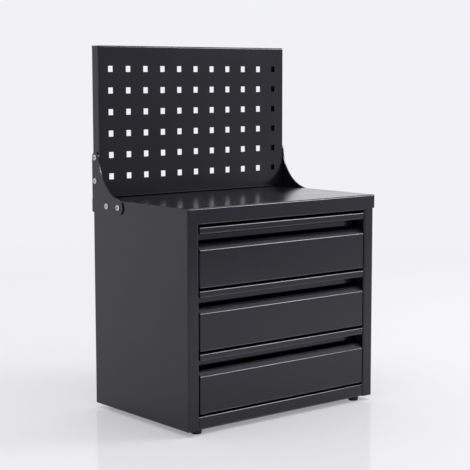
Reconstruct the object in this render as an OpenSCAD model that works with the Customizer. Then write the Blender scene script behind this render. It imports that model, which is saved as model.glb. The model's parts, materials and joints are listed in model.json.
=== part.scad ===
// Desktop drawer cabinet of folded sheet steel with a pegboard panel on its top.
// X runs to the right, Y to the back, Z up. The origin is on the floor, under the middle.

/* [Cabinet] */
// Width over the top cover
cabinet_w = 284; // [240:1:340]
// Depth over the top cover
cabinet_d = 186; // [180:1:230]
// Height of the cover's top face above the floor
cabinet_h = 252; // [240:1:300]
// Height of the skirt that hangs from the cover
skirt_h = 16.2; // [12:0.1:17]
// Sheet thickness of the cover and the pegboard
cover_sheet = 1.2; // [1:0.1:1.5]
// Sheet thickness of the sides, rails, pan and drawers
sheet = 1; // [0.8:0.1:1.2]
// Outer radius of the folds
fold_r = 2; // [1.6:0.1:2.5]
// Free space between the skirt and the cabinet's walls
skirt_gap = 0.2; // [0.1:0.05:0.4]
// Width of the front stiles
stile_w = 15; // [14:0.5:20]
// Height of the bottom rail
rail_h = 15; // [12:0.5:20]
// How far the two rails lie behind the stiles' faces
rail_setback = 1; // [0.6:0.1:2]
// Distance from the cover's top down to the drawer opening
opening_drop = 18.6; // [18:0.1:22]
// Depth of the hidden folds of sides and rails
flange_w = 12; // [9:0.5:14]

/* [Pegboard] */
// Height of the pegboard above the cover
panel_h = 177; // [165:1:240]
// Distance from the cover's front edge back to the pegboard's face
panel_setback = 168; // [150:1:170]
// Depth of the pegboard's folded edges
panel_fold = 14; // [13:0.5:16]
// Width of the return lips behind the pegboard's side folds
panel_lip = 12; // [8:0.5:12]
// Distance between neighbouring peg holes
peg_pitch = 25; // [20:0.5:25.4]
// Side of a square peg hole
peg_side = 7; // [5:0.1:9]
// Columns of peg holes
peg_columns = 11; // [5:1:11]
// Rows of peg holes
peg_rows = 6; // [3:1:6]
// Distance from the pegboard's top edge down to the top row
peg_top_margin = 27; // [20:0.5:35]

/* [Brackets] */
// Thickness of the two side brackets
bracket_t = 1.6; // [1.2:0.1:3]
// Height of the brackets above the cover
bracket_rise = 54; // [45:0.5:70]
// Radius of the concave front edge
bracket_curve_r = 50.5; // [47:0.5:54]
// Height of that curve's centre above the cover
bracket_curve_z = 50; // [49:0.5:53]
// Radius of the nose at the lower front
nose_r = 8.5; // [7:0.1:8.5]
// How far the nose's centre and its screws lie below the cover's top
nose_drop = 8; // [7:0.1:9]
// Height of the lower pegboard screw above the cover
lower_panel_screw_z = 20; // [14:0.5:24]
// Distance between the two skirt screws of a bracket
skirt_screw_pitch = 22.8; // [16:0.1:26]

/* [Drawers] */
// Gap above, between and below the drawer fronts
front_gap = 2.2; // [1.6:0.1:3]
// Gap at each end of the drawer fronts
side_gap = 1.2; // [0.8:0.1:2]
// Height of the lip along a drawer's top
lip_h = 8.4; // [7:0.1:10]
// Depth of the finger recess under the lip
recess_d = 17; // [14:0.5:18]
// Distance from the lip's top down to the recess wall's lower edge
wall_drop = 18.3; // [17.5:0.1:19]
// Distance from the lip's top down to the face's upper edge
face_drop = 25.5; // [25:0.1:27]
// How far the recess wall stops short of the lip's ends
wall_inset = 3.4; // [3:0.1:6]
// Radius of the lip's lower corners
lip_corner_r = 3; // [2:0.1:3]
// Depth of the flanges at a face's two ends
side_flange = 6; // [4:0.5:8]
// Length of a tray behind the front's face
tray_l = 170; // [160:1:172]
// Distance from the lip's top down to the tray's upper edge
tray_top_drop = 10; // [9.5:0.5:12]
// Travel of a drawer
travel = 105; // [80:1:110]

/* [Slides] */
// Length of a ball slide
slide_l = 150; // [140:1:155]
// Height of a ball slide
slide_h = 27; // [25:0.5:30]
// Thickness of a ball slide
slide_t = 10; // [9.5:0.1:11]
// Sheet thickness of the slide members
slide_sheet = 1; // [0.9:0.05:1.1]
// Radius of the balls
ball_r = 2.27; // [2.2:0.01:2.3]
// Free space between a ball and its race, or its cage
ball_gap = 0.04; // [0.03:0.01:0.06]
// Distance from the lip's top down to the slide's middle
slide_drop = 42; // [40:0.5:44]
// Distance from a drawer's face back to the slide's middle
slide_middle = 91.6; // [88:0.1:96]
// Free space between a slide and the stile's inner edge
slide_side_gap = 0.4; // [0.3:0.05:0.8]
// Balls in each race
balls_in_race = 4; // [3:1:4]

/* [Fasteners] */
// Diameter of the screws' shanks
screw_d = 4; // [3.5:0.1:4.5]
// Diameter of the screws' pan heads
head_d = 7; // [6.5:0.1:8]
// Height of the screws' heads
head_h = 1.8; // [1.6:0.1:2.8]
// Width across the flats of the nuts
nut_w = 7; // [6.5:0.1:7.5]
// Thickness of the nuts
nut_h = 3.2; // [2.5:0.1:3.5]
// Free space around a shank in its hole
hole_gap = 0.2; // [0.1:0.05:0.3]
// Free space around a shank in its nut
nut_gap = 0.03; // [0.02:0.01:0.05]
// Diameter of the slide rivets
rivet_d = 3; // [2.5:0.1:3.2]

/* [Feet] */
// Height of the rubber feet
foot_h = 6; // [5:0.5:10]
// Diameter of the rubber feet
foot_d = 12.5; // [12:0.5:20]
// Distance from the cabinet's sides to the feet's centres
foot_inset_x = 19.5; // [19.5:0.5:40]
// Distance from the cabinet's front and back to the feet's centres
foot_inset_y = 12; // [9.5:0.5:30]

/* [Hidden] */
$fn = 48;
fold_steps = 6;
overshoot = 1;

body_w = cabinet_w - 2 * (cover_sheet + skirt_gap);
body_d = cabinet_d - 2 * (cover_sheet + skirt_gap);
body_top = cabinet_h - cover_sheet;
front_y = -body_d / 2;
back_y = body_d / 2;
wall_x = body_w / 2 - sheet;
opening_w = body_w - 2 * stile_w;
opening_top = cabinet_h - opening_drop;
opening_h = opening_top - foot_h - rail_h;
rail_gap = 0.4;
rail_w = opening_w - 2 * rail_gap;
back_plate_y = back_y - 2 * sheet;

fold_clear = 0.1;
cover_inner_r = fold_r - cover_sheet;
front_w = opening_w - 2 * side_gap;
front_h = (opening_h - 4 * front_gap) / 3;
drawer_pitch = front_h + front_gap;
slide_x = opening_w / 2 - slide_side_gap;
tray_w = 2 * (slide_x - slide_t);
tray_drop = front_h - sheet;
hem_r = 1.5;
hem_room = hem_r + sheet / 2 + fold_clear;
face_flange = 12;
face_lip_l = 9;
face_lip_angle = 45;
grip_top_d = 14;
grip_return = 6;

upright_w = 24;
upright_foot = 6;
upright_floor_gap = 0.2;
upright_z0 = foot_h + 2 * sheet + upright_floor_gap;
upright_z1 = opening_top - 2 * sheet;
upright_inset = 6;
slide_y = front_y + slide_middle;
upright_y = [slide_y - slide_l / 2 + upright_inset,
    slide_y + slide_l / 2 - upright_inset - upright_w];

race_bite = 0.3;
race_r = ball_r + ball_gap;
race_v = slide_h / 2 - slide_sheet + race_bite - race_r;
race_u = 4.2;
member_r = 0.9;
outer_lip_u = 0.5;
outer_lip_v = 0.7;
inner_flange_v = race_v - race_r + race_bite;
inner_tip_u = 1.6;
cage_sheet = 0.5;
cage_u = 1.4;
cage_depth = 5.6;
stop_t = 1;
stop_gap = 0.5;
stop_clear = 0.2;
outer_stop_w = 6;
inner_stop_w = 4;
cage_l = slide_l - travel - 2 * (stop_t + stop_gap);
ball_pitch = cage_l / balls_in_race;
rivet_head_h = 0.8;
rivet_head_r = rivet_d;
rivet_end = 12;

panel_y = panel_setback - cabinet_d / 2;
bracket_x = cabinet_w / 2;
top_r = panel_fold / 2 - 0.5;
top_front_y = 0.5;
curve_y = top_front_y - bracket_curve_r;
bracket_back = panel_fold - 0.5;
nose_y = curve_y + sqrt(pow(bracket_curve_r + nose_r, 2) - pow(bracket_curve_z + nose_drop, 2));
panel_screw_y = panel_fold / 2;
foot_x = body_w / 2 - foot_inset_x;
foot_y = body_d / 2 - foot_inset_y;

powder_black = [0.16, 0.16, 0.17];
zinc = [0.72, 0.73, 0.75];
rubber_black = [0.07, 0.07, 0.07];

SLIDE_NODES = [for (k = [1:3], side = ["left", "right"], piece = ["outer", "cage", "inner"])
    str("slide_", k, "_", side, "_", piece)];
DRAWER_NODES = [for (k = [1:3], piece = ["grip", "face", "tray", "rivets"])
    str("drawer_", k, "_", piece)];
CABINET_NODES = ["top_cover", "left_side", "right_side", "back_panel", "bottom_pan", "top_rail",
    "front_left_upright", "front_right_upright", "rear_left_upright", "rear_right_upright",
    "slide_rivets", "foot_front_left", "foot_front_right", "foot_rear_left", "foot_rear_right",
    "foot_screws", "foot_nuts"];
PEGBOARD_NODES = ["pegboard_panel", "left_bracket", "right_bracket",
    "left_bracket_screws", "right_bracket_screws", "left_bracket_nuts", "right_bracket_nuts"];

// ---- Folded sheet as a path: the middle line of the metal, with rounded folds ----

function unit(v) = v / norm(v);
function left_of(v) = [-v[1], v[0]];

// The rounded stretch of a path at its corner b, between the points a and c.
function fold(a, b, c, r) =
    let (u = unit(a - b), v = unit(c - b), half = acos(u * v) / 2,
         centre = b + unit(u + v) * r / sin(half),
         start = b + u * r / tan(half), end = b + v * r / tan(half),
         a0 = atan2(start[1] - centre[1], start[0] - centre[0]),
         a1 = atan2(end[1] - centre[1], end[0] - centre[0]),
         turn = a1 - a0 > 180 ? a1 - a0 - 360 : a1 - a0 < -180 ? a1 - a0 + 360 : a1 - a0)
    [for (i = [0:fold_steps]) centre + r * [cos(a0 + turn * i / fold_steps),
                                            sin(a0 + turn * i / fold_steps)]];

function rounded_path(p, r) = concat([p[0]],
    [for (i = [1:len(p) - 2], q = fold(p[i - 1], p[i], p[i + 1], r)) q], [p[len(p) - 1]]);

// One face of the sheet: the path moved sideways by d.
function beside(p, d) = [for (i = [0:len(p) - 1])
    let (before = i > 0 ? unit(p[i] - p[i - 1]) : unit(p[1] - p[0]),
         after = i < len(p) - 1 ? unit(p[i + 1] - p[i]) : before,
         n = unit(left_of(before) + left_of(after)))
    p[i] + n * d / (n * left_of(before))];

function reversed(p) = [for (i = [len(p) - 1:-1:0]) p[i]];

module sheet_outline(path, t, r) {
    middle = rounded_path(path, r);
    polygon(concat(beside(middle, t / 2), reversed(beside(middle, -t / 2))));
}

// A drawing in X and Y raised from z0 to z1.
module raise(z0, z1) {
    translate([0, 0, z0]) linear_extrude(z1 - z0) children();
}

// A drawing whose X is the object's Y and whose Y is the object's Z, stretched along X.
module stretch_x(x0, x1) {
    translate([x0, 0, 0]) rotate([90, 0, 90]) linear_extrude(x1 - x0) children();
}

// A drawing in the object's X and Z, stretched along Y.
module stretch_y(y0, y1) {
    translate([0, y1, 0]) rotate([90, 0, 0]) linear_extrude(y1 - y0) children();
}

module block(low, high) {
    translate(low) cube(high - low);
}

// A rod along X from x0 to x1.
module rod_x(x0, x1, y, z, r) {
    translate([min(x0, x1), y, z]) rotate([0, 90, 0]) cylinder(h = abs(x1 - x0), r = r);
}

module on_side(right) {
    if (right) mirror([1, 0, 0]) children();
    else children();
}

module rounded_rectangle(w, d, r) {
    square([w - 2 * r, d], center = true);
    square([w, d - 2 * r], center = true);
    for (x = [-1, 1], y = [-1, 1]) translate([x * (w / 2 - r), y * (d / 2 - r)]) circle(r);
}

// A w by h rectangle from y = 0 up, with its two upper corners rounded.
module rounded_top(w, h, r) {
    translate([-w / 2, 0]) square([w, h - r]);
    translate([-w / 2 + r, 0]) square([w - 2 * r, h]);
    for (x = [-1, 1]) translate([x * (w / 2 - r), h - r]) circle(r);
}

// A block whose upper and upright edges are rounded.
module rounded_block(w, d, h, r) {
    intersection() {
        linear_extrude(h) rounded_rectangle(w, d, r);
        stretch_y(-d / 2 - overshoot, d / 2 + overshoot) rounded_top(w, h, r);
        stretch_x(-w / 2 - overshoot, w / 2 + overshoot) rounded_top(d, h, r);
    }
}

// A lid with folded skirts, open below.
module folded_lid(w, d, h, t) {
    difference() {
        rounded_block(w, d, h, fold_r);
        translate([0, 0, -overshoot])
            rounded_block(w - 2 * t, d - 2 * t, h - t + overshoot, fold_r - t);
    }
}

// ---- Cabinet ----

module skirt_screw_places() {
    for (step = [0, skirt_screw_pitch])
        translate([0, panel_y + nose_y + step, cabinet_h - nose_drop]) children();
}

module screw_hole_x() {
    rod_x(-cabinet_w, cabinet_w, 0, 0, screw_d / 2 + hole_gap);
}

module top_cover() {
    color(powder_black) difference() {
        translate([0, 0, cabinet_h - skirt_h]) folded_lid(cabinet_w, cabinet_d, skirt_h, cover_sheet);
        skirt_screw_places() screw_hole_x();
    }
}

module side_wall() {
    middle = sheet / 2;
    outer_x = -body_w / 2 + middle;
    stile_x = -opening_w / 2 - middle;
    flange_x = -body_w / 2 + flange_w;
    difference() {
        intersection() {
            union() {
                raise(foot_h, body_top) sheet_outline([
                    [stile_x, front_y + flange_w], [stile_x, front_y + middle],
                    [outer_x, front_y + middle], [outer_x, back_y - middle],
                    [flange_x, back_y - middle]], sheet, fold_r - middle);
                for (z = [foot_h + sheet, body_top - sheet])
                    block([outer_x, front_y + flange_w + sheet, z],
                          [flange_x, back_plate_y, z + sheet]);
            }
            translate([0, 0, foot_h])
                rounded_block(body_w, body_d, body_top - foot_h, cover_inner_r);
        }
        skirt_screw_places() screw_hole_x();
    }
}

module left_side() {
    color(powder_black) side_wall();
}

module right_side() {
    color(powder_black) on_side(true) side_wall();
}

module back_panel() {
    edge_x = body_w / 2 - fold_r - fold_clear;
    color(powder_black)
        block([-edge_x, back_plate_y, foot_h + sheet], [edge_x, back_plate_y + sheet, body_top - sheet]);
}

module front_rail(z0, z1) {
    middle = sheet / 2;
    face_y = front_y + rail_setback + middle;
    back = front_y + flange_w;
    stretch_x(-rail_w / 2, rail_w / 2) sheet_outline([
        [back, z0 + middle], [face_y, z0 + middle], [face_y, z1 - middle], [back, z1 - middle]],
        sheet, fold_r - middle);
}

module top_rail() {
    color(powder_black) front_rail(opening_top, body_top);
}

module foot_places() {
    for (x = [-foot_x, foot_x], y = [-foot_y, foot_y]) translate([x, y, 0]) children();
}

module bottom_pan() {
    color(powder_black) difference() {
        union() {
            front_rail(foot_h, foot_h + rail_h);
            block([-rail_w / 2, front_y + 2 * fold_r, foot_h],
                  [rail_w / 2, back_plate_y, foot_h + sheet]);
            block([-wall_x, front_y + flange_w + sheet, foot_h],
                  [wall_x, back_plate_y, foot_h + sheet]);
        }
        foot_places() cylinder(h = 2 * foot_h, r = screw_d / 2 + hole_gap);
    }
}

// A hat-section strip inside a side wall. Each slide is riveted to the front one and the rear one.
module upright(y, right) {
    middle = sheet / 2;
    wall = -wall_x + middle;
    web = -slide_x - middle;
    color(powder_black) on_side(right) difference() {
        raise(upright_z0, upright_z1) sheet_outline([
            [wall, y - upright_foot], [wall, y + middle], [web, y + middle],
            [web, y + upright_w - middle], [wall, y + upright_w - middle],
            [wall, y + upright_w + upright_foot]], sheet, fold_r - middle);
        for (k = [1:3])
            rod_x(-slide_x - 2 * sheet, 0, y + upright_w / 2, slide_z(k), rivet_d / 2 + nut_gap);
    }
}

module front_left_upright() { upright(upright_y[0], false); }
module front_right_upright() { upright(upright_y[0], true); }
module rear_left_upright() { upright(upright_y[1], false); }
module rear_right_upright() { upright(upright_y[1], true); }

module foot(x, y) {
    pocket_h = foot_h / 2;
    pocket_r = (head_d + 1) / 2;
    taper = 0.5;
    color(rubber_black) translate([x, y, 0]) difference() {
        cylinder(h = foot_h, r1 = foot_d / 2 - taper, r2 = foot_d / 2);
        translate([0, 0, -overshoot]) cylinder(h = pocket_h + overshoot, r = pocket_r);
        cylinder(h = 2 * foot_h, r = screw_d / 2 + hole_gap);
    }
}

module foot_front_left() { foot(-foot_x, -foot_y); }
module foot_front_right() { foot(foot_x, -foot_y); }
module foot_rear_left() { foot(-foot_x, foot_y); }
module foot_rear_right() { foot(foot_x, foot_y); }

// ---- Screws and nuts ----

// A pan-head screw: its head stands on z = 0 and its shank goes down.
module pan_screw(shank_l) {
    round_r = 0.7 * head_h;
    slot_w = 0.8;
    slot_l = 3.6;
    slot_deep = head_h / 2;
    head_r = head_d / 2;
    difference() {
        union() {
            rotate_extrude() polygon(concat([[0, 0], [head_r, 0]],
                [for (a = [0:15:75]) [head_r - round_r + round_r * cos(a),
                                      head_h - round_r + round_r * sin(a)]],
                [[head_r - round_r, head_h], [0, head_h]]));
            translate([0, 0, -shank_l]) cylinder(h = shank_l + head_h / 2, r = screw_d / 2);
        }
        for (turn = [0, 90]) rotate([0, 0, turn])
            block([-slot_l / 2, -slot_w / 2, head_h - slot_deep],
                  [slot_l / 2, slot_w / 2, head_h + overshoot]);
    }
}

// A hexagon nut from z = 0 up.
module hex_nut() {
    difference() {
        cylinder(h = nut_h, d = nut_w / cos(30), $fn = 6);
        translate([0, 0, -overshoot]) cylinder(h = nut_h + 2 * overshoot, r = screw_d / 2 + nut_gap);
    }
}

module foot_screws() {
    shank_l = foot_h / 2 + sheet + nut_h + 1;
    color(zinc) foot_places() translate([0, 0, foot_h / 2]) mirror([0, 0, 1]) pan_screw(shank_l);
}

module foot_nuts() {
    color(zinc) foot_places() translate([0, 0, foot_h + sheet]) hex_nut();
}

// ---- Pegboard and its brackets ----

module pegboard_panel() {
    t = cover_sheet;
    lip_y = panel_y + panel_fold - t;
    color(powder_black) difference() {
        union() {
            translate([0, panel_y + panel_fold, cabinet_h + panel_h / 2]) rotate([90, 0, 0])
                folded_lid(cabinet_w, panel_h, panel_fold, t);
            for (side = [-1, 1]) {
                outer = side * (cabinet_w / 2 - t / 2);
                inner = side * (cabinet_w / 2 - panel_lip);
                block([min(outer, inner), lip_y, cabinet_h + t / 2],
                      [max(outer, inner), lip_y + t, cabinet_h + panel_h - t / 2]);
            }
        }
        peg_holes();
        panel_screw_places() screw_hole_x();
    }
}

module peg_holes() {
    first_x = -(peg_columns - 1) / 2 * peg_pitch;
    first_z = cabinet_h + panel_h - peg_top_margin;
    for (column = [0:peg_columns - 1], row = [0:peg_rows - 1])
        translate([first_x + column * peg_pitch, panel_y, first_z - row * peg_pitch])
            cube([peg_side, 4 * cover_sheet, peg_side], center = true);
}

module panel_screw_places() {
    for (z = [lower_panel_screw_z, bracket_rise - top_r])
        translate([0, panel_y + panel_screw_y, cabinet_h + z]) children();
}

// The bracket's outline, from the pegboard's face and the cover's top.
module bracket_outline() {
    curve = [curve_y, bracket_curve_z];
    nose = [nose_y, -nose_drop];
    touch = curve + unit(nose - curve) * bracket_curve_r;
    foot_z = -nose_drop - nose_r;
    top_z = bracket_rise - top_r;
    difference() {
        polygon([[nose_y, foot_z], [bracket_back, foot_z], [bracket_back, top_z],
                 [top_front_y, top_z], touch]);
        translate(curve) circle(bracket_curve_r, $fn = 144);
    }
    translate(nose) circle(nose_r);
    translate([(top_front_y + bracket_back) / 2, top_z]) circle(top_r);
}

module bracket() {
    difference() {
        translate([0, panel_y, cabinet_h])
            stretch_x(-bracket_x - bracket_t, -bracket_x) bracket_outline();
        skirt_screw_places() screw_hole_x();
        panel_screw_places() screw_hole_x();
    }
}

module left_bracket() {
    color(powder_black) bracket();
}

module right_bracket() {
    color(powder_black) on_side(true) bracket();
}

module bracket_screws() {
    panel_shank = bracket_t + cover_sheet + nut_h + 1;
    skirt_shank = panel_shank + skirt_gap + sheet;
    panel_screw_places() translate([-bracket_x - bracket_t, 0, 0]) rotate([0, -90, 0])
        pan_screw(panel_shank);
    skirt_screw_places() translate([-bracket_x - bracket_t, 0, 0]) rotate([0, -90, 0])
        pan_screw(skirt_shank);
}

module bracket_nuts() {
    panel_screw_places() translate([-bracket_x + cover_sheet, 0, 0]) rotate([0, 90, 0]) hex_nut();
    skirt_screw_places() translate([-wall_x, 0, 0]) rotate([0, 90, 0]) hex_nut();
}

module left_bracket_screws() { color(zinc) bracket_screws(); }
module right_bracket_screws() { color(zinc) on_side(true) bracket_screws(); }
module left_bracket_nuts() { color(zinc) bracket_nuts(); }
module right_bracket_nuts() { color(zinc) on_side(true) bracket_nuts(); }

// ---- Drawers: k is 1 for the top one. Their pieces are drawn from the lip's top front edge ----

function lip_top(k) = opening_top - front_gap - (k - 1) * drawer_pitch;
function slide_z(k) = lip_top(k) - slide_drop;

module at_drawer(k) {
    translate([0, front_y, lip_top(k)]) children();
}

// The lip, the ceiling of the recess and its back wall, in one folded sheet.
module drawer_grip(k) {
    middle = sheet / 2;
    wall_y = recess_d + middle;
    corner_x = front_w / 2 - lip_corner_r;
    color(powder_black) at_drawer(k) difference() {
        stretch_x(-front_w / 2, front_w / 2) sheet_outline([
            [grip_top_d, -middle], [middle, -middle], [middle, -lip_h + middle],
            [wall_y, -lip_h + middle], [wall_y, -wall_drop + middle],
            [wall_y + grip_return, -wall_drop + middle]], sheet, hem_r);
        for (side = [-1, 1]) {
            wall_end = side * (front_w / 2 - wall_inset);
            return_end = side * (tray_w / 2 - sheet - fold_clear);
            end = side * front_w;
            back = recess_d + grip_return + 2 * sheet;
            block([min(wall_end, end), 2 * hem_r, -wall_drop - overshoot],
                  [max(wall_end, end), back, -2 * hem_r]);
            block([min(return_end, end), recess_d + sheet, -wall_drop - overshoot],
                  [max(return_end, end), back, -lip_h - sheet]);
            difference() {
                block([min(side * corner_x, end), -overshoot, -lip_h - overshoot],
                      [max(side * corner_x, end), 2 * hem_r + overshoot, -lip_h + lip_corner_r]);
                translate([side * corner_x, -2 * overshoot, -lip_h + lip_corner_r])
                    rotate([-90, 0, 0]) cylinder(h = 4 * hem_r, r = lip_corner_r);
            }
        }
    }
}

// The face with its side flanges, its bottom flange and the sloping flange along its top.
module drawer_face(k) {
    middle = sheet / 2;
    slope = [cos(face_lip_angle), sin(face_lip_angle)] * face_lip_l;
    crest = [middle, -face_drop - middle];
    color(powder_black) at_drawer(k) intersection() {
        union() {
            stretch_x(-front_w / 2, front_w / 2) sheet_outline([
                [face_flange, -front_h + middle], [middle, -front_h + middle],
                crest, crest + slope], sheet, hem_r);
            for (side = [-1, 1]) {
                outer = side * front_w / 2;
                inner = outer - side * sheet;
                block([min(outer, inner), middle, -front_h + middle],
                      [max(outer, inner), side_flange, -face_drop - 2 * sheet]);
            }
        }
        translate([0, front_w / 2, 0]) raise(-front_h - overshoot, 0)
            rounded_rectangle(front_w, front_w, hem_r);
    }
}

module tray_side() {
    notch_y = recess_d + sheet;
    stretch_x(-tray_w / 2, -tray_w / 2 + sheet) polygon([
        [hem_room, -tray_drop], [tray_l, -tray_drop], [tray_l, -tray_top_drop],
        [notch_y, -tray_top_drop], [notch_y, -face_drop - lip_h],
        [hem_room, -face_drop - wall_drop]]);
    block([-tray_w / 2, notch_y, -wall_drop + hem_room],
          [-tray_w / 2 + flange_w, notch_y + sheet, -tray_top_drop]);
}

module drawer_tray(k) {
    color(powder_black) at_drawer(k) difference() {
        union() {
            block([-tray_w / 2, hem_room, -tray_drop], [tray_w / 2, tray_l, -tray_drop + sheet]);
            block([-tray_w / 2, tray_l - sheet, -tray_drop], [tray_w / 2, tray_l, -tray_top_drop]);
            for (right = [false, true]) on_side(right) tray_side();
        }
        slide_rivet_places() rod_x(-front_w, front_w, 0, 0, rivet_d / 2 + nut_gap);
    }
}

// Where the drawer member of a slide is riveted to its tray, in the drawer's own frame.
module slide_rivet_places() {
    for (end = [-1, 1])
        translate([0, slide_middle + end * (slide_l / 2 - rivet_end), -slide_drop]) children();
}

// Rivets with a flat head on both faces, through the slide's drawer member and the tray's side.
module drawer_rivets(k) {
    inner_face = -slide_x + slide_t - slide_sheet;
    tray_face = -tray_w / 2 + sheet;
    color(zinc) at_drawer(k) for (right = [false, true]) on_side(right) slide_rivet_places() {
        rod_x(inner_face, tray_face, 0, 0, rivet_d / 2);
        rod_x(inner_face - rivet_head_h, inner_face, 0, 0, rivet_head_r);
        rod_x(tray_face, tray_face + rivet_head_h, 0, 0, rivet_head_r);
    }
}

// ---- Ball slides: u runs from the upright towards the tray, v up from the slide's middle ----

module at_slide(k, right) {
    on_side(right) translate([-slide_x, slide_y, slide_z(k)]) children();
}

module races() {
    for (v = [-race_v, race_v]) translate([race_u, 0, v]) rotate([90, 0, 0])
        cylinder(h = 2 * slide_l, r = race_r, center = true);
}

module slide_outer(k, right) {
    middle = slide_sheet / 2;
    edge_v = slide_h / 2 - middle;
    lip_u = race_u + ball_r + outer_lip_u;
    lip_v = race_v + outer_lip_v;
    color(zinc) at_slide(k, right) {
        difference() {
            stretch_y(-slide_l / 2, slide_l / 2) sheet_outline([
                [lip_u, lip_v], [lip_u, edge_v], [middle, edge_v], [middle, -edge_v],
                [lip_u, -edge_v], [lip_u, -lip_v]], slide_sheet, member_r);
            races();
            for (y = upright_y) translate([0, y + upright_w / 2 - slide_y, 0])
                countersunk_rivet(nut_gap);
        }
        block([slide_sheet, -slide_l / 2, -outer_stop_w / 2],
              [slide_sheet + cage_u, -slide_l / 2 + stop_t, outer_stop_w / 2]);
    }
}

// A rivet along u whose countersunk head is flush with the slide's inner face.
module countersunk_rivet(grow) {
    rotate([0, 90, 0]) {
        cylinder(h = slide_sheet, r1 = rivet_d / 2 + grow, r2 = rivet_head_r + grow);
        translate([0, 0, -sheet - overshoot]) cylinder(h = sheet + overshoot, r = rivet_d / 2 + grow);
    }
}

module slide_rivets() {
    color(zinc) for (k = [1:3], right = [false, true], y = upright_y)
        at_slide(k, right) translate([0, y + upright_w / 2 - slide_y, 0]) {
            countersunk_rivet(0);
            rod_x(-sheet - rivet_head_h, -sheet, 0, 0, rivet_head_r);
        }
}

module slide_inner(k, right) {
    middle = slide_sheet / 2;
    web = slide_t - middle;
    edge_v = inner_flange_v - middle;
    tip = race_u - inner_tip_u;
    color(zinc) at_slide(k, right) difference() {
        union() {
            stretch_y(-slide_l / 2, slide_l / 2) sheet_outline([
                [tip, edge_v], [web, edge_v], [web, -edge_v], [tip, -edge_v]],
                slide_sheet, member_r);
            block([cage_u + stop_clear, slide_l / 2 - stop_t, -inner_stop_w / 2],
                  [web, slide_l / 2, inner_stop_w / 2]);
        }
        races();
        for (end = [-1, 1]) rod_x(0, 2 * slide_t, end * (slide_l / 2 - rivet_end), 0,
                                  rivet_d / 2 + nut_gap);
    }
}

// The strip that keeps the balls apart, and the balls.
module slide_cage(k, right) {
    half = cage_sheet / 2;
    first = -(balls_in_race - 1) / 2 * ball_pitch;
    ball_places = [for (i = [0:balls_in_race - 1], v = [-race_v, race_v])
        [race_u, first + i * ball_pitch, v]];
    color(zinc) at_slide(k, right) {
        difference() {
            stretch_y(-cage_l / 2, cage_l / 2) sheet_outline([
                [cage_u + cage_depth, race_v], [cage_u + half, race_v],
                [cage_u + half, -race_v], [cage_u + cage_depth, -race_v]], cage_sheet, cage_sheet);
            for (p = ball_places) translate(p) cylinder(h = 2 * cage_sheet, r = race_r, center = true);
        }
        for (p = ball_places) translate(p) sphere(ball_r);
    }
}

top_cover();
left_side();
right_side();
back_panel();
bottom_pan();
top_rail();
front_left_upright();
front_right_upright();
rear_left_upright();
rear_right_upright();
slide_rivets();
foot_front_left();
foot_front_right();
foot_rear_left();
foot_rear_right();
foot_screws();
foot_nuts();
pegboard_panel();
left_bracket();
right_bracket();
left_bracket_screws();
right_bracket_screws();
left_bracket_nuts();
right_bracket_nuts();
for (k = [1:3]) {
    drawer_grip(k);
    drawer_face(k);
    drawer_tray(k);
    drawer_rivets(k);
    for (side = ["left", "right"]) {
        slide_outer(k, side == "right");
        slide_cage(k, side == "right");
        slide_inner(k, side == "right");
    }
}
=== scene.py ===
import json
import math
import bpy
from mathutils import Euler, Matrix, Vector


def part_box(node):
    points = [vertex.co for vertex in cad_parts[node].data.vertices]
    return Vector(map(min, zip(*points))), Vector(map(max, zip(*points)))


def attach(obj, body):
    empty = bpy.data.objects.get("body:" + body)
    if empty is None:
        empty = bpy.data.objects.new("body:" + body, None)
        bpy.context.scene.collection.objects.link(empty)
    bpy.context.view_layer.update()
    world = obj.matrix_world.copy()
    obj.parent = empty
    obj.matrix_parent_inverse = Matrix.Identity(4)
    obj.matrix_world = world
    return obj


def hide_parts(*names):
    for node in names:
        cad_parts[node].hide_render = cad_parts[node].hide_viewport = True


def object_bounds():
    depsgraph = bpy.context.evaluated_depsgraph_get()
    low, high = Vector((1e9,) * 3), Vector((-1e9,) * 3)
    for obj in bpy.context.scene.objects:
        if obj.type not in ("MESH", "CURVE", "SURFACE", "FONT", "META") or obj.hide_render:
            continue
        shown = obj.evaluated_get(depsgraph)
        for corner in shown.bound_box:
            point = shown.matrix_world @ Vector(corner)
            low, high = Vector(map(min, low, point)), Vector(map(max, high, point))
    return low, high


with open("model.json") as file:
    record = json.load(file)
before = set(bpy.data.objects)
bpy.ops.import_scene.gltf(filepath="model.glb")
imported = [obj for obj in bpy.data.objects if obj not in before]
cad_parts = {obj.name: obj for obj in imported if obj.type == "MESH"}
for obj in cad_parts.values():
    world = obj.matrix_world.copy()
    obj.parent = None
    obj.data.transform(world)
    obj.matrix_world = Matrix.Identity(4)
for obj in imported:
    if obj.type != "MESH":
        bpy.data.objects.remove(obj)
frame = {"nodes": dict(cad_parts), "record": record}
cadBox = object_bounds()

cadNodes = frame["nodes"]
nodeBody = {n: body for body, names in frame["record"]["behaviour"]["bodies"].items() for n in names}
nodeSlot = {s["node"]: s["material_slot"] for s in frame["record"]["subparts"]}
mm = 0.001
hair = 0.02 * mm    # how exactly a place is met when edges and faces are picked


# colour written as sRGB hex, turned to the linear values that shaders take
def linearColour(hexText):
    channels = [int(hexText[i:i + 2], 16) / 255 for i in (1, 3, 5)]
    return (*[c / 12.92 if c <= 0.04045 else ((c + 0.055) / 1.055) ** 2.4 for c in channels], 1.0)


# one shader node with its settings and links; a socket goes by its name, or by its number as in0, in1
def addNode(tree, kind, settings=None, **sockets):
    made = tree.nodes.new(kind)
    for name, value in (settings or {}).items():
        setattr(made, name, value)
    for name, value in sockets.items():
        numbered = name.startswith("in") and name[2:].isdigit()
        socket = made.inputs[int(name[2:]) if numbered else name.replace("_", " ")]
        if isinstance(value, bpy.types.NodeSocket):
            tree.links.new(value, socket)
        else:
            socket.default_value = value
    return made


def newMaterial(name):
    material = bpy.data.materials.new(name)
    material.use_nodes = True
    material.node_tree.nodes.clear()
    return material, material.node_tree


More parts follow.
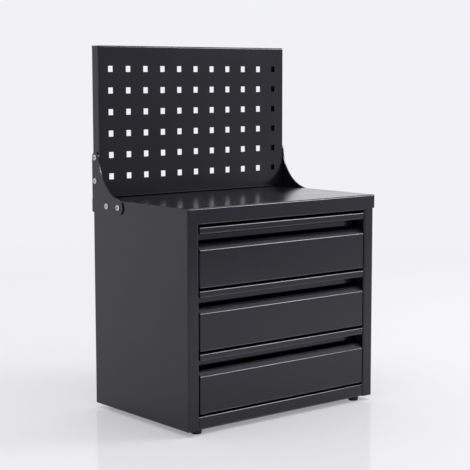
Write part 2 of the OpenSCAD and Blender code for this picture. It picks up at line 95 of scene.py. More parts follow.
# the camera stands where the photograph was taken from
view = {
    "place": (-1.0072, -1.2281, 0.3936),
    "yaw": 39.365,      # degrees, turned from straight ahead towards the right
    "pitch": 6.771,     # degrees downwards
    "roll": 0.075,
    "focal": 1339.1,    # in pixels of a frame 470 wide
    "frame": 470,
    "sensor": 36.0,
}
cameraData = bpy.data.cameras.new("camera")
cameraData.sensor_width = view["sensor"]
cameraData.lens = view["focal"] * view["sensor"] / view["frame"]
cameraData.clip_start = 0.01
camera = bpy.data.objects.new("camera", cameraData)
camera.location = view["place"]
camera.rotation_euler = Euler((math.radians(90 - view["pitch"]), math.radians(view["roll"]),
                               -math.radians(view["yaw"])), "XYZ")
bpy.context.scene.collection.objects.link(camera)
bpy.context.scene.camera = camera
print("camera set")

# the patterns of all finishes have their sizes in millimetres
powder = {
    "dark": "#0d0c13", "light": "#15131c", "sheen": "#f5f2fc", "roughness": 0.19,
    "peel": 1.8, "grit": 0.45, "cloud": 45,
}


# black polyester powder coat, sprayed on steel sheet and baked: it gives the eye a satin black with
# soft-edged highlights, broken a little by its orange-peel skin
def makePowderCoat():
    material, tree = newMaterial("blackPowderCoat")
    place = addNode(tree, "ShaderNodeTexCoord").outputs["Object"]
    peel = addNode(tree, "ShaderNodeTexNoise", Vector=place, Scale=1000 / powder["peel"], Detail=2.0)
    # real grit is under 0.1 mm, drawn coarser so that it shows
    grit = addNode(tree, "ShaderNodeTexNoise", Vector=place, Scale=1000 / powder["grit"], Detail=1.0)
    cloud = addNode(tree, "ShaderNodeTexNoise", Vector=place, Scale=1000 / powder["cloud"], Detail=3.0)
    tone = addNode(tree, "ShaderNodeMix", {"data_type": "RGBA"}, Factor=cloud.outputs["Fac"],
                   in6=linearColour(powder["dark"]), in7=linearColour(powder["light"]))
    mottle = addNode(tree, "ShaderNodeMath", {"operation": "MULTIPLY_ADD"}, in0=grit.outputs["Fac"],
                     in1=0.3, in2=cloud.outputs["Fac"])
    rough = addNode(tree, "ShaderNodeMapRange", Value=mottle.outputs["Value"],
                    From_Min=0.3, From_Max=1.0,
                    To_Min=powder["roughness"] - 0.03, To_Max=powder["roughness"] + 0.04)
    relief = addNode(tree, "ShaderNodeBump", Strength=0.06, Distance=0.0003, Height=peel.outputs["Fac"])
    relief = addNode(tree, "ShaderNodeBump", Strength=0.05, Distance=0.0001,
                     Height=grit.outputs["Fac"], Normal=relief.outputs["Normal"])
    shader = addNode(tree, "ShaderNodeBsdfPrincipled", Base_Color=tone.outputs["Result"],
                     Roughness=rough.outputs["Result"], Normal=relief.outputs["Normal"], IOR=1.5,
                     Specular_Tint=linearColour(powder["sheen"]))
    addNode(tree, "ShaderNodeOutputMaterial", Surface=shader.outputs["BSDF"])
    return material


zinc = {"pale": "#c3c6ca", "blue": "#a9afb8", "roughness": 0.3, "line": 0.35, "spangle": 6}


# bright zinc plate over cold-rolled strip: a cool bluish metal whose fine rolling lines draw its
# highlights out along the slide
def makeZincPlate():
    material, tree = newMaterial("zincPlate")
    place = addNode(tree, "ShaderNodeTexCoord").outputs["Object"]
    # the lines run along the depth of the cabinet, as the slides do
    along = addNode(tree, "ShaderNodeMapping", Vector=place, Scale=(1.0, 0.02, 1.0))
    line = addNode(tree, "ShaderNodeTexNoise", Vector=along.outputs["Vector"],
                   Scale=1000 / zinc["line"], Detail=2.0)
    bloom = addNode(tree, "ShaderNodeTexNoise", Vector=place, Scale=1000 / zinc["spangle"], Detail=3.0)
    tone = addNode(tree, "ShaderNodeMix", {"data_type": "RGBA"}, Factor=bloom.outputs["Fac"],
                   in6=linearColour(zinc["pale"]), in7=linearColour(zinc["blue"]))
    rough = addNode(tree, "ShaderNodeMapRange", Value=line.outputs["Fac"], From_Min=0.3, From_Max=0.7,
                    To_Min=zinc["roughness"] - 0.08, To_Max=zinc["roughness"] + 0.1)
    relief = addNode(tree, "ShaderNodeBump", Strength=0.15, Distance=0.00005,
                     Height=line.outputs["Fac"])
    shader = addNode(tree, "ShaderNodeBsdfPrincipled", Base_Color=tone.outputs["Result"], Metallic=1.0,
                     Roughness=rough.outputs["Result"], Normal=relief.outputs["Normal"])
    addNode(tree, "ShaderNodeOutputMaterial", Surface=shader.outputs["BSDF"])
    return material


nickel = {"bright": "#e0dfdd", "dull": "#a3a2a0", "roughness": 0.2, "scratch": 0.3}


# barrel-plated nickel on pressed screw heads: small bright points, dulled by tumbling marks
def makeNickelPlate():
    material, tree = newMaterial("nickelPlate")
    place = addNode(tree, "ShaderNodeTexCoord").outputs["Object"]
    mark = addNode(tree, "ShaderNodeTexNoise", Vector=place, Scale=1000 / nickel["scratch"], Detail=3.0,
                   Distortion=1.5)
    tone = addNode(tree, "ShaderNodeMix", {"data_type": "RGBA"}, Factor=mark.outputs["Fac"],
                   in6=linearColour(nickel["bright"]), in7=linearColour(nickel["dull"]))
    rough = addNode(tree, "ShaderNodeMapRange", Value=mark.outputs["Fac"], From_Min=0.3, From_Max=0.7,
                    To_Min=nickel["roughness"] - 0.05, To_Max=nickel["roughness"] + 0.1)
    relief = addNode(tree, "ShaderNodeBump", Strength=0.1, Distance=0.00003, Height=mark.outputs["Fac"])
    shader = addNode(tree, "ShaderNodeBsdfPrincipled", Base_Color=tone.outputs["Result"], Metallic=1.0,
                     Roughness=rough.outputs["Result"], Normal=relief.outputs["Normal"])
    addNode(tree, "ShaderNodeOutputMaterial", Surface=shader.outputs["BSDF"])
    return material


rubber = {"dark": "#111111", "dusty": "#1b1b1a", "roughness": 0.75, "grain": 0.5, "dust": 4}


# moulded rubber: matt and nearly black under the cabinet, with the mould's fine grain and a little dust
def makeRubber():
    material, tree = newMaterial("mouldedRubber")
    place = addNode(tree, "ShaderNodeTexCoord").outputs["Object"]
    grain = addNode(tree, "ShaderNodeTexNoise", Vector=place, Scale=1000 / rubber["grain"], Detail=2.0)
    dust = addNode(tree, "ShaderNodeTexNoise", Vector=place, Scale=1000 / rubber["dust"], Detail=4.0)
    tone = addNode(tree, "ShaderNodeMix", {"data_type": "RGBA"}, Factor=dust.outputs["Fac"],
                   in6=linearColour(rubber["dark"]), in7=linearColour(rubber["dusty"]))
    rough = addNode(tree, "ShaderNodeMapRange", Value=dust.outputs["Fac"],
                    To_Min=rubber["roughness"] - 0.1, To_Max=rubber["roughness"] + 0.15)
    relief = addNode(tree, "ShaderNodeBump", Strength=0.3, Distance=0.0001, Height=grain.outputs["Fac"])
    shader = addNode(tree, "ShaderNodeBsdfPrincipled", Base_Color=tone.outputs["Result"],
                     Roughness=rough.outputs["Result"], IOR=1.52, Normal=relief.outputs["Normal"])
    addNode(tree, "ShaderNodeOutputMaterial", Surface=shader.outputs["BSDF"])
    return material


slotMaterial = {
    "black_powder_coat": makePowderCoat(),
    "zinc_steel": makeZincPlate(),
    "nickel_screws": makeNickelPlate(),
    "foot_rubber": makeRubber(),
}
for name, piece in cadNodes.items():
    piece.data.materials.clear()
    piece.data.materials.append(slotMaterial[nodeSlot[name]])
print("materials made")

# the ways of working that all pieces share
finish = {"smoothAngle": 32, "edgeAngle": 40, "edgeSteps": 2}


# the piece alone is selected, so that an operator acts on nothing else
def grab(piece):
    bpy.ops.object.select_all(action="DESELECT")
    piece.select_set(True)
    bpy.context.view_layer.objects.active = piece


def named(name):
    piece = bpy.context.object
    piece.name = name
    bpy.ops.object.transform_apply(location=True, rotation=True, scale=True)
    return piece


def addPlane(name, middle, size, tilt=0):
    bpy.ops.object.select_all(action="DESELECT")
    bpy.ops.mesh.primitive_plane_add(size=1, location=middle, rotation=(math.radians(tilt), 0, 0))
    bpy.context.object.scale = (*size, 1)
    return named(name)


def addBox(name, low, high):
    bpy.ops.object.select_all(action="DESELECT")
    low, high = Vector(low), Vector(high)
    bpy.ops.mesh.primitive_cube_add(size=1, location=(low + high) / 2, scale=high - low)
    return named(name)


# a round bar from one point to another
def addBar(name, start, end, radius, sides=48):
    bpy.ops.object.select_all(action="DESELECT")
    start, end = Vector(start), Vector(end)
    bpy.ops.mesh.primitive_cylinder_add(vertices=sides, radius=radius, depth=(end - start).length,
                                        location=(start + end) / 2,
                                        rotation=(end - start).to_track_quat("Z", "Y").to_euler())
    return named(name)


# into edit mode with the parts selected that pass the test, which is given their corners and normal
def pick(piece, kind, test):
    mesh = piece.data
    for group in (mesh.vertices, mesh.edges, mesh.polygons):
        group.foreach_set("select", [False] * len(group))
    for part in {"VERT": mesh.vertices, "EDGE": mesh.edges, "FACE": mesh.polygons}[kind]:
        corners = [part.co] if kind == "VERT" else [mesh.vertices[i].co for i in part.vertices]
        part.select = bool(test(corners, None if kind == "EDGE" else part.normal))
    grab(piece)
    bpy.context.tool_settings.mesh_select_mode = (kind == "VERT", kind == "EDGE", kind == "FACE")
    bpy.ops.object.mode_set(mode="EDIT")


def leave():
    bpy.ops.object.mode_set(mode="OBJECT")


def near(value, place):
    return abs(value - place) < hair


def removeFaces(piece, test):
    pick(piece, "FACE", test)
    bpy.ops.mesh.delete(type="FACE")
    leave()


# edges are folded or rounded to a radius; a fold that turns less than square has shorter tangents
def roundEdges(piece, radius, steps, test, turn=90):
    pick(piece, "EDGE", test)
    bpy.ops.mesh.bevel(offset=radius * math.tan(math.radians(turn / 2)), segments=steps, affect="EDGES",
                       offset_type="OFFSET", clamp_overlap=False)
    leave()


def pull(piece, kind, move, test):
    pick(piece, kind, test)
    bpy.ops.mesh.extrude_region_move(TRANSFORM_OT_translate={"value": move})
    leave()


# the whole mesh gets a new line of edges where a plane cuts it
def score(piece, axis, place):
    pick(piece, "FACE", lambda corners, normal: True)
    line = [0.0, 0.0, 0.0]
    line[axis] = 1.0
    bpy.ops.mesh.bisect(plane_co=[part * place for part in line], plane_no=line)
    leave()


def modify(piece, kind, **settings):
    grab(piece)
    modifier = piece.modifiers.new(kind.lower(), kind)
    for name, value in settings.items():
        setattr(modifier, name, value)
    bpy.ops.object.modifier_apply(modifier=modifier.name)


# open sheet gets its thickness: side -1 keeps the drawn face outside, 0 keeps it in the middle
def thicken(piece, thickness, side, even=True):
    pick(piece, "FACE", lambda corners, normal: True)
    bpy.ops.mesh.normals_make_consistent(inside=False)
    leave()
    modify(piece, "SOLIDIFY", thickness=thickness, offset=side, use_even_offset=even)


def carve(piece, cutter):
    modify(piece, "BOOLEAN", operation="DIFFERENCE", solver="EXACT", object=cutter)
    bpy.data.objects.remove(cutter)


def copyPiece(piece, name, move=(0, 0, 0), mirrored=False):
    made = bpy.data.objects.new(name, piece.data.copy())
    bpy.context.scene.collection.objects.link(made)
    made.data.transform(Matrix.Translation(move))
    if mirrored:
        made.data.transform(Matrix.Scale(-1, 4, (1, 0, 0)))
        made.data.flip_normals()
    return made


def joinAs(name, parts):
    bpy.ops.object.select_all(action="DESELECT")
    for part in parts:
        part.select_set(True)
    bpy.context.view_layer.objects.active = parts[0]
    bpy.ops.object.join()
    parts[0].name = name
    return parts[0]


# a narrow rounding on every sharp edge, as the coat or plating leaves it
def softenEdges(piece, width):
    modify(piece, "BEVEL", width=width, segments=finish["edgeSteps"], limit_method="ANGLE",
           angle_limit=math.radians(finish["edgeAngle"]))


# the finished piece takes the place, the body and the finish of its CAD node
def dress(piece, node):
    grab(piece)
    bpy.ops.object.shade_smooth_by_angle(angle=math.radians(finish["smoothAngle"]))
    modify(piece, "WEIGHTED_NORMAL", keep_sharp=True)
    piece.data.materials.clear()
    piece.data.materials.append(slotMaterial[nodeSlot[node]])
    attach(piece, nodeBody[node])
    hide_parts(node)


# the top cover is a lid of folded sheet, bored for the brackets' screws
cover = {"sheet": 1.2 * mm, "fold": 2 * mm, "foldSteps": 8, "edge": 0.25 * mm}
screws = {
    "panelY": 82 * mm, "panelZ": (272 * mm, 299.5 * mm),
    "skirtY": (35.817 * mm, 58.617 * mm), "skirtZ": 244 * mm,
    "holeRadius": 2.2 * mm, "shankRadius": 2 * mm, "tip": 1 * mm, "tipChamfer": 0.5 * mm,
    "headRadius": 3.5 * mm, "headHeight": 1.8 * mm, "headRound": 0.7, "headSteps": 6,
    "nutHeight": 3.2 * mm, "nutWidth": 7 * mm, "nutChamfer": 0.4 * mm, "nutEdge": 0.1 * mm,
    "sideSheet": 1 * mm,           # what the nuts inside the cabinet bear on
    "skirtExtra": 1.2 * mm,        # how much longer a screw is that also passes the cabinet's side
    "turns": (20, 65, 38, 8),      # how far each head was turned when it came tight, in degrees
}
screwPlaces = ([(screws["panelY"], z) for z in screws["panelZ"]]
               + [(y, screws["skirtZ"]) for y in screws["skirtY"]])


def boreAcross(piece, places):
    reach = cadBox[1][0] + 10 * mm
    for y, z in places:
        carve(piece, addBar("bore", (-reach, y, z), (reach, y, z), screws["holeRadius"]))


def makeTopCover():
    low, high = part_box("top_cover")
    piece = addBox("topCover", low, high)
    removeFaces(piece, lambda corners, normal: normal.z < -0.5)
    roundEdges(piece, cover["fold"], cover["foldSteps"],
               lambda corners, normal: max(c.z for c in corners) > low.z + hair)
    thicken(piece, cover["sheet"], -1)
    boreAcross(piece, screwPlaces[2:])
    softenEdges(piece, cover["edge"])
    dress(piece, "top_cover")


makeTopCover()
print("top cover made")

# the pegboard is folded back on four sides, with a lip behind each upright side
pegboard = {
    "sheet": 1.2 * mm, "fold": 2 * mm, "foldSteps": 6, "depth": 14 * mm, "lip": 12 * mm,
    "lipFold": 1.6 * mm, "edge": 0.25 * mm,
    "pitch": 25 * mm, "hole": 7 * mm, "columns": 11, "rows": 6, "topMargin": 27 * mm,
}


def makePegboard():
    low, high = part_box("pegboard_panel")
    piece = addPlane("pegboardPanel", (0, low.y, (low.z + high.z) / 2),
                     (high.x - low.x, high.z - low.z), tilt=90)
    half = pegboard["hole"] / 2
    pitch = pegboard["pitch"]
    columns = [(i - (pegboard["columns"] - 1) / 2) * pitch for i in range(pegboard["columns"])]
    rows = [high.z - pegboard["topMargin"] - i * pitch for i in range(pegboard["rows"])]
    for place in columns:
        score(piece, 0, place - half)
        score(piece, 0, place + half)
    for place in rows:
        score(piece, 2, place - half)
        score(piece, 2, place + half)

    def inHole(corners, normal):
        middle = sum(corners, Vector()) / len(corners)
        return (any(abs(middle.x - place) < half for place in columns)
                and any(abs(middle.z - place) < half for place in rows))
    removeFaces(piece, inHole)

    def onRim(corners, normal):
        return any(all(near(c[axis], edge) for c in corners)
                   for axis, edge in ((0, low.x), (0, high.x), (2, low.z), (2, high.z)))
    pull(piece, "EDGE", (0, pegboard["depth"], 0), onRim)

    # the face's four edges and the four corners between the folded sides
    def atFold(corners, normal):
        first, second = corners
        atCorner = near(abs(first.x), high.x) and (near(first.z, low.z) or near(first.z, high.z))
        return (onRim(corners, normal) and all(near(c.y, low.y) for c in corners)
                or not near(first.y, second.y) and atCorner)
    roundEdges(piece, pegboard["fold"], pegboard["foldSteps"], atFold)
    for side in (low.x, high.x):
        inward = -math.copysign(pegboard["lip"], side)

        def atBack(corners, normal):
            return all(near(c.y, high.y) and near(c.x, side) for c in corners)
        pull(piece, "EDGE", (inward, 0, 0), atBack)
        roundEdges(piece, pegboard["lipFold"], pegboard["foldSteps"], atBack)
    thicken(piece, pegboard["sheet"], -1)
    boreAcross(piece, screwPlaces[:2])
    softenEdges(piece, pegboard["edge"])
    dress(piece, "pegboard_panel")


makePegboard()
print("pegboard made")

# a bracket is a flat plate whose front edge curves in between a round top and a nose; its outline is
# measured back from the pegboard's face and up from the cover's top
bracket = {
    "sheet": 1.6 * mm, "edge": 0.3 * mm, "back": 13.5 * mm,
    "topRadius": 6.5 * mm, "topFront": 0.5 * mm, "topZ": 47.5 * mm, "topSteps": 24,
    "curveRadius": 50.5 * mm, "curveZ": 50 * mm, "curveSteps": 40,
    "noseRadius": 8.5 * mm, "noseZ": -8 * mm, "noseSteps": 24,
}


# the outline is drawn by one point that starts at the round top's front
def makeBracket():
    low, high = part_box("left_bracket")
    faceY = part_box("pegboard_panel")[0].y
    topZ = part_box("top_cover")[1].z
    curveY = bracket["topFront"] - bracket["curveRadius"]
    reach = bracket["curveRadius"] + bracket["noseRadius"]
    rise = bracket["curveZ"] - bracket["noseZ"]
    noseY = curveY + math.sqrt(reach ** 2 - rise ** 2)
    lean = math.asin(rise / reach)      # of the line from the curve's centre to the nose's
    start = math.asin((bracket["curveZ"] - bracket["topZ"]) / bracket["curveRadius"])
    piece = addPlane("leftBracket", (high.x, faceY + bracket["topFront"], topZ + bracket["topZ"]),
                     (mm, mm))
    pick(piece, "VERT", lambda corners, normal: True)
    bpy.ops.mesh.merge(type="CENTER")

    def sweep(y, z, turn, steps):
        bpy.ops.mesh.spin(steps=steps, angle=turn, center=(high.x, faceY + y, topZ + z), axis=(1, 0, 0))
    sweep(bracket["topFront"] + bracket["topRadius"], bracket["topZ"], math.pi, bracket["topSteps"])
    for move in ((0, 0, bracket["noseZ"] - bracket["noseRadius"] - bracket["topZ"]),
                 (0, noseY - bracket["back"], 0)):
        bpy.ops.mesh.extrude_region_move(TRANSFORM_OT_translate={"value": move})
    sweep(noseY, bracket["noseZ"], math.pi / 2 + lean, bracket["noseSteps"])
    sweep(curveY, bracket["curveZ"], start - lean, bracket["curveSteps"])
    bpy.ops.mesh.select_all(action="SELECT")
    bpy.ops.mesh.remove_doubles(threshold=0.1 * mm)
    bpy.ops.mesh.select_all(action="SELECT")
    bpy.ops.mesh.edge_face_add()
    bpy.ops.mesh.extrude_region_move(TRANSFORM_OT_translate={"value": (low.x - high.x, 0, 0)})
    bpy.ops.mesh.select_all(action="SELECT")
    bpy.ops.mesh.normals_make_consistent(inside=False)
    leave()
    boreAcross(piece, screwPlaces)
    softenEdges(piece, bracket["edge"])
    return piece


leftBracket = makeBracket()
rightBracket = copyPiece(leftBracket, "rightBracket", mirrored=True)
dress(leftBracket, "left_bracket")
dress(rightBracket, "right_bracket")
print("brackets made")

# the cross recess in each screw's head
recess = {"length": 4.2 * mm, "width": 1.1 * mm, "depth": 1.2 * mm, "taper": 0.6, "edge": 0.06 * mm}


# a pan-head screw with a cross recess: its head stands on z = 0 and its shank goes down
def makeScrew(shank):
    height = screws["headHeight"]
    piece = addBar("screw", (0, 0, 0), (0, 0, height), screws["headRadius"])
    roundEdges(piece, screws["headRound"] * height, screws["headSteps"],
               lambda corners, normal: all(near(c.z, height) for c in corners))
    pick(piece, "FACE", lambda corners, normal: normal.z < -0.9)
    bpy.ops.mesh.inset(thickness=screws["headRadius"] - screws["shankRadius"])
    bpy.ops.mesh.extrude_region_move(TRANSFORM_OT_translate={"value": (0, 0, -shank)})
    leave()
    roundEdges(piece, screws["tipChamfer"], 1,
               lambda corners, normal: all(near(c.z, -shank) for c in corners))
    for turn in (0, 90):
        half = Vector((recess["length"] / 2, recess["width"] / 2, 0))
        cutter = addBox("recess", (-half.x, -half.y, height - recess["depth"]),
                        (half.x, half.y, height + mm))
        pick(cutter, "FACE", lambda corners, normal: normal.z < -0.9)
        bpy.ops.transform.resize(value=(recess["taper"], 1, 1))
        leave()
        cutter.data.transform(Matrix.Rotation(math.radians(turn), 4, "Z"))
        carve(piece, cutter)
    softenEdges(piece, recess["edge"])
    return piece


# a hexagon nut that stands on z = 0
def makeNut():
    radius = screws["nutWidth"] / 2 / math.cos(math.radians(30))
    height = screws["nutHeight"]
    piece = addBar("nut", (0, 0, 0), (0, 0, height), radius, sides=6)
    roundEdges(piece, screws["nutChamfer"], 2,
               lambda corners, normal: near(corners[0].z, corners[1].z))
    carve(piece, addBar("thread", (0, 0, -mm), (0, 0, height + mm), screws["shankRadius"]))
    softenEdges(piece, screws["nutEdge"])
    return piece


# a copy set on a place, its top turned to face the way given in degrees about X, Y and Z
def setCopy(piece, place, turn, spin=0):
    made = copyPiece(piece, piece.name + "Copy")
    made.data.transform(Matrix.Rotation(math.radians(spin), 4, "Z"))
    made.data.transform(Euler([math.radians(part) for part in turn]).to_matrix().to_4x4())
    made.data.transform(Matrix.Translation(place))
    return made


# side is -1 on the left and 1 on the right; the first two screws hold the panel, the others the cover
def fastenBrackets(side, word):
    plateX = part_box("left_bracket")[0].x
    innerX = (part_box("pegboard_panel")[0].x + pegboard["sheet"],
              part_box("left_side")[0].x + screws["sideSheet"])
    heads, nuts = [], []
    for i, (y, z) in enumerate(screwPlaces):
        kind = 0 if i < len(screws["panelZ"]) else 1
        turn = screws["turns"][i]
        heads.append(setCopy(bracketScrews[kind], (-side * plateX, y, z), (0, side * 90, 0), turn))
        nuts.append(setCopy(nut, (-side * innerX[kind], y, z), (0, -side * 90, 0), turn / 2))
    dress(joinAs(word + "BracketScrews", heads), word + "_bracket_screws")
    dress(joinAs(word + "BracketNuts", nuts), word + "_bracket_nuts")


panelShank = bracket["sheet"] + pegboard["sheet"] + screws["nutHeight"] + screws["tip"]
bracketScrews = [makeScrew(panelShank), makeScrew(panelShank + screws["skirtExtra"])]
nut = makeNut()
fastenBrackets(-1, "left")
fastenBrackets(1, "right")
print("screws and nuts made")

# the feet are rubber discs with a pocket for the screw's head
foot = {
    "pocketRadius": 4 * mm, "taper": 0.92, "edge": 0.5 * mm, "edgeSteps": 4, "rim": 0.2 * mm,
    "panSheet": 1 * mm,        # what the feet's nuts bear on
    "screwTurn": 30, "nutTurn": 17,
}


def makeFoot(corner):
    low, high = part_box("foot_" + corner)
    middle = (low + high) / 2
    across = (high.x - low.x) / 2
    piece = addBar("foot" + corner.title().replace("_", ""), (middle.x, middle.y, low.z),
                   (middle.x, middle.y, high.z), across)
    pick(piece, "FACE", lambda corners, normal: normal.z < -0.9)
    bpy.ops.transform.resize(value=(foot["taper"], foot["taper"], 1))
    leave()
    roundEdges(piece, foot["edge"], foot["edgeSteps"],
               lambda corners, normal: all(near(c.z, low.z) for c in corners))
    carve(piece, addBar("pocket", (middle.x, middle.y, low.z - mm), (middle.x, middle.y, middle.z),
                        foot["pocketRadius"]))
    carve(piece, addBar("bore", (middle.x, middle.y, low.z), (middle.x, middle.y, high.z + mm),
                        screws["holeRadius"]))
    softenEdges(piece, foot["rim"])
    dress(piece, "foot_" + corner)
    return middle


footPlaces = [makeFoot(corner) for corner in ("front_left", "front_right", "rear_left", "rear_right")]
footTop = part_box("foot_front_left")[1].z
footScrews = [setCopy(bracketScrews[1], (m.x, m.y, m.z), (180, 0, 0), foot["screwTurn"] * i)
              for i, m in enumerate(footPlaces)]
dress(joinAs("footScrews", footScrews), "foot_screws")
footNuts = [setCopy(nut, (m.x, m.y, footTop + foot["panSheet"]), (0, 0, 0), foot["nutTurn"] * i)
            for i, m in enumerate(footPlaces)]
dress(joinAs("footNuts", footNuts), "foot_nuts")
for made in bracketScrews + [nut]:
    bpy.data.objects.remove(made)
print("feet made")

# a drawer's front is a grip rail with its finger recess, and a face with a slope behind its top edge
front = {
    "sheet": 1 * mm, "fold": 1.5 * mm, "foldSteps": 8, "edge": 0.2 * mm,
    "lip": 8.4 * mm, "topDepth": 14 * mm, "cornerRadius": 3 * mm, "cornerReach": 3 * mm,
    "recess": 17 * mm, "wallDrop": 18.3 * mm, "wallInset": 3.4 * mm,
    "return": 6 * mm, "returnInset": 10.3 * mm,
    "faceDrop": 25.5 * mm, "bottomDepth": 12 * mm, "slope": 9 * mm, "slopeAngle": 45,
    "sideDepth": 6 * mm, "sideRelief": 3 * mm, "sideSteps": 4,
}


# a strip of sheet along X, drawn as its middle surface and folded along a path of (y, z) places
def foldStrip(name, halfWidth, path):
    (startY, startZ), (endY, _) = path[:2]
    piece = addPlane(name, (0, (startY + endY) / 2, startZ), (2 * halfWidth, abs(endY - startY)))
    pick(piece, "EDGE", lambda corners, normal: all(near(c.y, endY) for c in corners))
    for before, after in zip(path[1:], path[2:]):
        move = (0, after[0] - before[0], after[1] - before[1])
        bpy.ops.mesh.extrude_region_move(TRANSFORM_OT_translate={"value": move})
    leave()
    for before, place, after in zip(path, path[1:], path[2:]):
        legs = [Vector(place) - Vector(before), Vector(after) - Vector(place)]
        roundEdges(piece, front["fold"], front["foldSteps"], turn=math.degrees(legs[0].angle(legs[1])),
                   test=lambda corners, normal: all(near(c.y, place[0]) and near(c.z, place[1])
                                                    for c in corners))
    return piece


# the lip turns down at the front, the wall stands behind it, and the return runs back under the wall
def makeGrip():
    low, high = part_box("drawer_1_grip")
    half = front["sheet"] / 2
    wallY, wallZ = low.y + front["recess"] + half, high.z - front["wallDrop"] + half
    lipZ = high.z - front["lip"] + half
    piece = foldStrip("drawer1Grip", high.x, [
        (low.y + front["topDepth"], high.z - half), (low.y + half, high.z - half), (low.y + half, lipZ),
        (wallY, lipZ), (wallY, wallZ), (wallY + front["return"], wallZ)])
    wallEnd, returnEnd = high.x - front["wallInset"], high.x - front["returnInset"]
    for place in (-wallEnd, -returnEnd, returnEnd, wallEnd):
        score(piece, 0, place)

    # the recess stops short of the lip's ends, and its return stops short of the tray's sides
    def beyondEnds(corners, normal):
        middle = sum(corners, Vector()) / len(corners)
        pastFold = middle.y > low.y + half + front["fold"] and middle.z < high.z - front["lip"] / 2
        onReturn = middle.z < wallZ + front["fold"]
        return abs(middle.x) > wallEnd and pastFold or abs(middle.x) > returnEnd and onReturn
    removeFaces(piece, beyondEnds)
    thicken(piece, front["sheet"], 0)

    # the lip's lower corners are rounded by a block that has the round taken out of it
    radius, bottom = front["cornerRadius"], high.z - front["lip"]
    for side in (-1, 1):
        edge = side * (high.x - radius)
        ends = sorted((edge, side * (high.x + mm)))
        cutter = addBox("corner", (ends[0], low.y - mm, bottom - mm),
                        (ends[1], low.y + front["cornerReach"], bottom + radius))
        carve(cutter, addBar("round", (edge, low.y - 2 * mm, bottom + radius),
                             (edge, low.y + front["cornerReach"] + mm, bottom + radius), radius))
        carve(piece, cutter)
    softenEdges(piece, front["edge"])
    return piece


def makeFace():
    low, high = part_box("drawer_1_face")
    half = front["sheet"] / 2
    faceY, crestZ = low.y + half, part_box("drawer_1_grip")[1].z - front["faceDrop"] - half
    slope = [front["slope"] * part for part in (math.cos(math.radians(front["slopeAngle"])),
                                                math.sin(math.radians(front["slopeAngle"])))]
    piece = foldStrip("drawer1Face", high.x - half, [
        (low.y + front["bottomDepth"], low.z + half), (faceY, low.z + half), (faceY, crestZ),
        (faceY + slope[0], crestZ + slope[1])])
    reliefs = (low.z + front["sideRelief"], crestZ - front["sideRelief"])
    for place in reliefs:
        score(piece, 2, place)

    # the face's ends are folded back between two small reliefs
    for end in (low.x + half, high.x - half):
        def atEnd(corners, normal):
            return all(near(c.x, end) and near(c.y, faceY)
                       and reliefs[0] - hair < c.z < reliefs[1] + hair for c in corners)
        pull(piece, "EDGE", (0, front["sideDepth"] - half, 0), atEnd)
        roundEdges(piece, front["fold"] - half, front["sideSteps"], atEnd)
    thicken(piece, front["sheet"], 0, even=False)
    softenEdges(piece, front["edge"])
    return piece


for part, made in (("grip", makeGrip()), ("face", makeFace())):
    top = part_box("drawer_1_" + part)[1].z
    for k in (2, 3):
        node = "drawer_%d_%s" % (k, part)
        dress(copyPiece(made, "drawer%d%s" % (k, part.title()), (0, 0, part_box(node)[1].z - top)), node)
    dress(made, "drawer_1_" + part)
print("drawer fronts made")

# the other sheet parts, the slides and the rivets are copies of their nodes, cleaned and with
# softened edges
softening = {"black_powder_coat": 0.2 * mm, "zinc_steel": 0.12 * mm, "merge": 0.001 * mm, "flat": 0.5}


def copyNode(node):
    words = node.split("_")
    name = words[0] + "".join(w.title() for w in words[1:])
    piece = bpy.data.objects.new(name, cadNodes[node].data.copy())
    bpy.context.scene.collection.objects.link(piece)
    grab(piece)
    bpy.ops.mesh.customdata_custom_splitnormals_clear()
    pick(piece, "VERT", lambda corners, normal: True)
    bpy.ops.mesh.remove_doubles(threshold=softening["merge"])
    bpy.ops.mesh.dissolve_limited(angle_limit=math.radians(softening["flat"]))
    leave()
    softenEdges(piece, softening[nodeSlot[node]])
    dress(piece, node)


# a node that still shows in a render has no piece of its own yet
for node in sorted(n for n, piece in cadNodes.items() if not piece.hide_render):
    copyNode(node)
print("remaining parts made")

# floor, backdrop and light
studio = {
    "backdrop": "#f2f2f6", "floor": "#f3f3f6", "floorSize": 60, "sheen": 0.12,
    "fadeFrom": 0.7, "fadeTo": 1.8,     # how far out the floor turns into the backdrop, in metres
    # how bright the studio is behind the camera and behind the cabinet, seen in the gloss
    "frontTone": 0.42, "backTone": 1.2, "backWay": (0.63, 0.77, 0.0),
    "ambient": 0.86,
    "shadowLift": 0.32,    # the part of the floor's tone that no shadow darkens, as in the photograph
    "aim": (0, 0, 0.15),
}
lamps = {
    # lights the floor and the cabinet, but stays out of the gloss
    "overhead": {"place": (0.9, -0.6, 1.3), "size": (0.5, 0.5), "radiance": 7.5, "gloss": False},
    # a strip that shows only in the gloss, where a fold turns up between a face and a slope
    "strip": {"place": (0.99, -0.91, 1.01), "size": (0.5, 0.45), "radiance": 18.0, "diffuse": False},
}


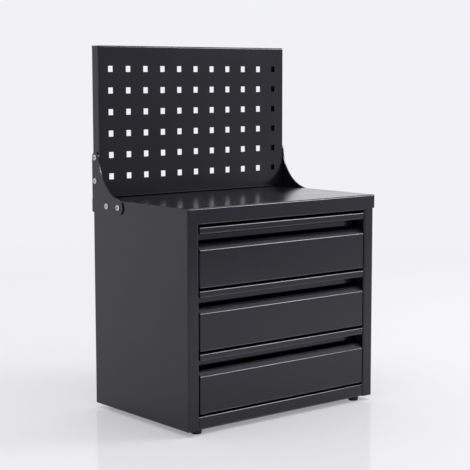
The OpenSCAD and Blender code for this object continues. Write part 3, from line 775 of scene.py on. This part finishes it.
# pale floor paint with a faint sheen, which fades into the backdrop far from the cabinet
def makeFloor():
    bpy.ops.object.select_all(action="DESELECT")
    bpy.ops.mesh.primitive_plane_add(size=studio["floorSize"], location=(0, 0, 0))
    floor = bpy.context.object
    floor.name = "floor"
    material, tree = newMaterial("floorPaint")
    place = addNode(tree, "ShaderNodeTexCoord").outputs["Object"]
    ray = addNode(tree, "ShaderNodeLightPath")
    reach = addNode(tree, "ShaderNodeVectorMath", {"operation": "LENGTH"}, Vector=place)
    fade = addNode(tree, "ShaderNodeMapRange", {"interpolation_type": "SMOOTHSTEP"},
                   Value=reach.outputs["Value"], From_Min=studio["fadeFrom"], From_Max=studio["fadeTo"])
    paint = addNode(tree, "ShaderNodeBsdfDiffuse", Color=linearColour(studio["floor"]))
    gloss = addNode(tree, "ShaderNodeBsdfAnisotropic", Color=(1, 1, 1, 1), Roughness=0.1)
    close = addNode(tree, "ShaderNodeMixShader", in0=studio["sheen"], in1=paint.outputs["BSDF"],
                    in2=gloss.outputs["BSDF"])
    far = addNode(tree, "ShaderNodeEmission", Color=linearColour(studio["backdrop"]),
                  Strength=glossTone(tree, place, ray))
    lift = addNode(tree, "ShaderNodeMath", {"operation": "MULTIPLY"}, in0=ray.outputs["Is Camera Ray"],
                   in1=studio["shadowLift"])
    share = addNode(tree, "ShaderNodeMath", {"operation": "MAXIMUM"}, in0=fade.outputs["Result"],
                    in1=lift.outputs["Value"])
    both = addNode(tree, "ShaderNodeMixShader", in0=share.outputs["Value"], in1=close.outputs["Shader"],
                   in2=far.outputs["Emission"])
    addNode(tree, "ShaderNodeOutputMaterial", Surface=both.outputs["Shader"])
    floor.data.materials.append(material)


# the backdrop's tone: even all round to the camera, but in the gloss dark in front and bright behind
def glossTone(tree, direction, ray):
    unit = addNode(tree, "ShaderNodeVectorMath", {"operation": "NORMALIZE"}, Vector=direction)
    parts = addNode(tree, "ShaderNodeSeparateXYZ", Vector=unit.outputs["Vector"])
    ahead = addNode(tree, "ShaderNodeMapRange", {"interpolation_type": "SMOOTHSTEP"},
                    Value=parts.outputs["Y"], From_Min=-0.55, From_Max=-0.9, To_Min=1.0,
                    To_Max=studio["frontTone"])
    along = addNode(tree, "ShaderNodeVectorMath", {"operation": "DOT_PRODUCT"},
                    in0=unit.outputs["Vector"], in1=studio["backWay"])
    behind = addNode(tree, "ShaderNodeMapRange", {"interpolation_type": "SMOOTHSTEP"},
                     Value=along.outputs["Value"], From_Min=0.5, From_Max=0.9, To_Min=1.0,
                     To_Max=studio["backTone"])
    both = addNode(tree, "ShaderNodeMath", {"operation": "MULTIPLY"}, in0=ahead.outputs["Result"],
                   in1=behind.outputs["Result"])
    tone = addNode(tree, "ShaderNodeMix", {"data_type": "FLOAT"}, in0=ray.outputs["Is Glossy Ray"],
                   in2=1.0, in3=both.outputs["Value"])
    return tone.outputs["Result"]


# the camera and the gloss see the backdrop, and everything else gets an even soft light
def makeWorld():
    world = bpy.data.worlds.new("studio")
    bpy.context.scene.world = world
    world.use_nodes = True
    tree = world.node_tree
    tree.nodes.clear()
    ray = addNode(tree, "ShaderNodeLightPath")
    seen = addNode(tree, "ShaderNodeMath", {"operation": "MAXIMUM"}, in0=ray.outputs["Is Camera Ray"],
                   in1=ray.outputs["Is Glossy Ray"])
    soft = addNode(tree, "ShaderNodeBackground", Color=linearColour("#ffffff"),
                   Strength=studio["ambient"])
    direction = addNode(tree, "ShaderNodeTexCoord").outputs["Generated"]
    white = addNode(tree, "ShaderNodeBackground", Color=linearColour(studio["backdrop"]),
                    Strength=glossTone(tree, direction, ray))
    both = addNode(tree, "ShaderNodeMixShader", in0=seen.outputs["Value"],
                   in1=soft.outputs["Background"], in2=white.outputs["Background"])
    addNode(tree, "ShaderNodeOutputWorld", Surface=both.outputs["Shader"])


# a rectangular softbox turned to the cabinet's middle; its power follows from its brightness and size
def addSoftbox(name, place, size, radiance, diffuse=True, gloss=True):
    lamp = bpy.data.lights.new(name, "AREA")
    lamp.shape = "RECTANGLE"
    lamp.size, lamp.size_y = size
    lamp.energy = radiance * math.pi * size[0] * size[1]
    box = bpy.data.objects.new(name, lamp)
    box.location = place
    box.rotation_euler = (Vector(place) - Vector(studio["aim"])).to_track_quat("Z", "Y").to_euler()
    box.visible_diffuse, box.visible_glossy = diffuse, gloss
    bpy.context.scene.collection.objects.link(box)


makeFloor()
makeWorld()
for name, lamp in lamps.items():
    addSoftbox(name, **lamp)
bpy.context.scene.view_settings.view_transform = "Standard"
print("studio lit")
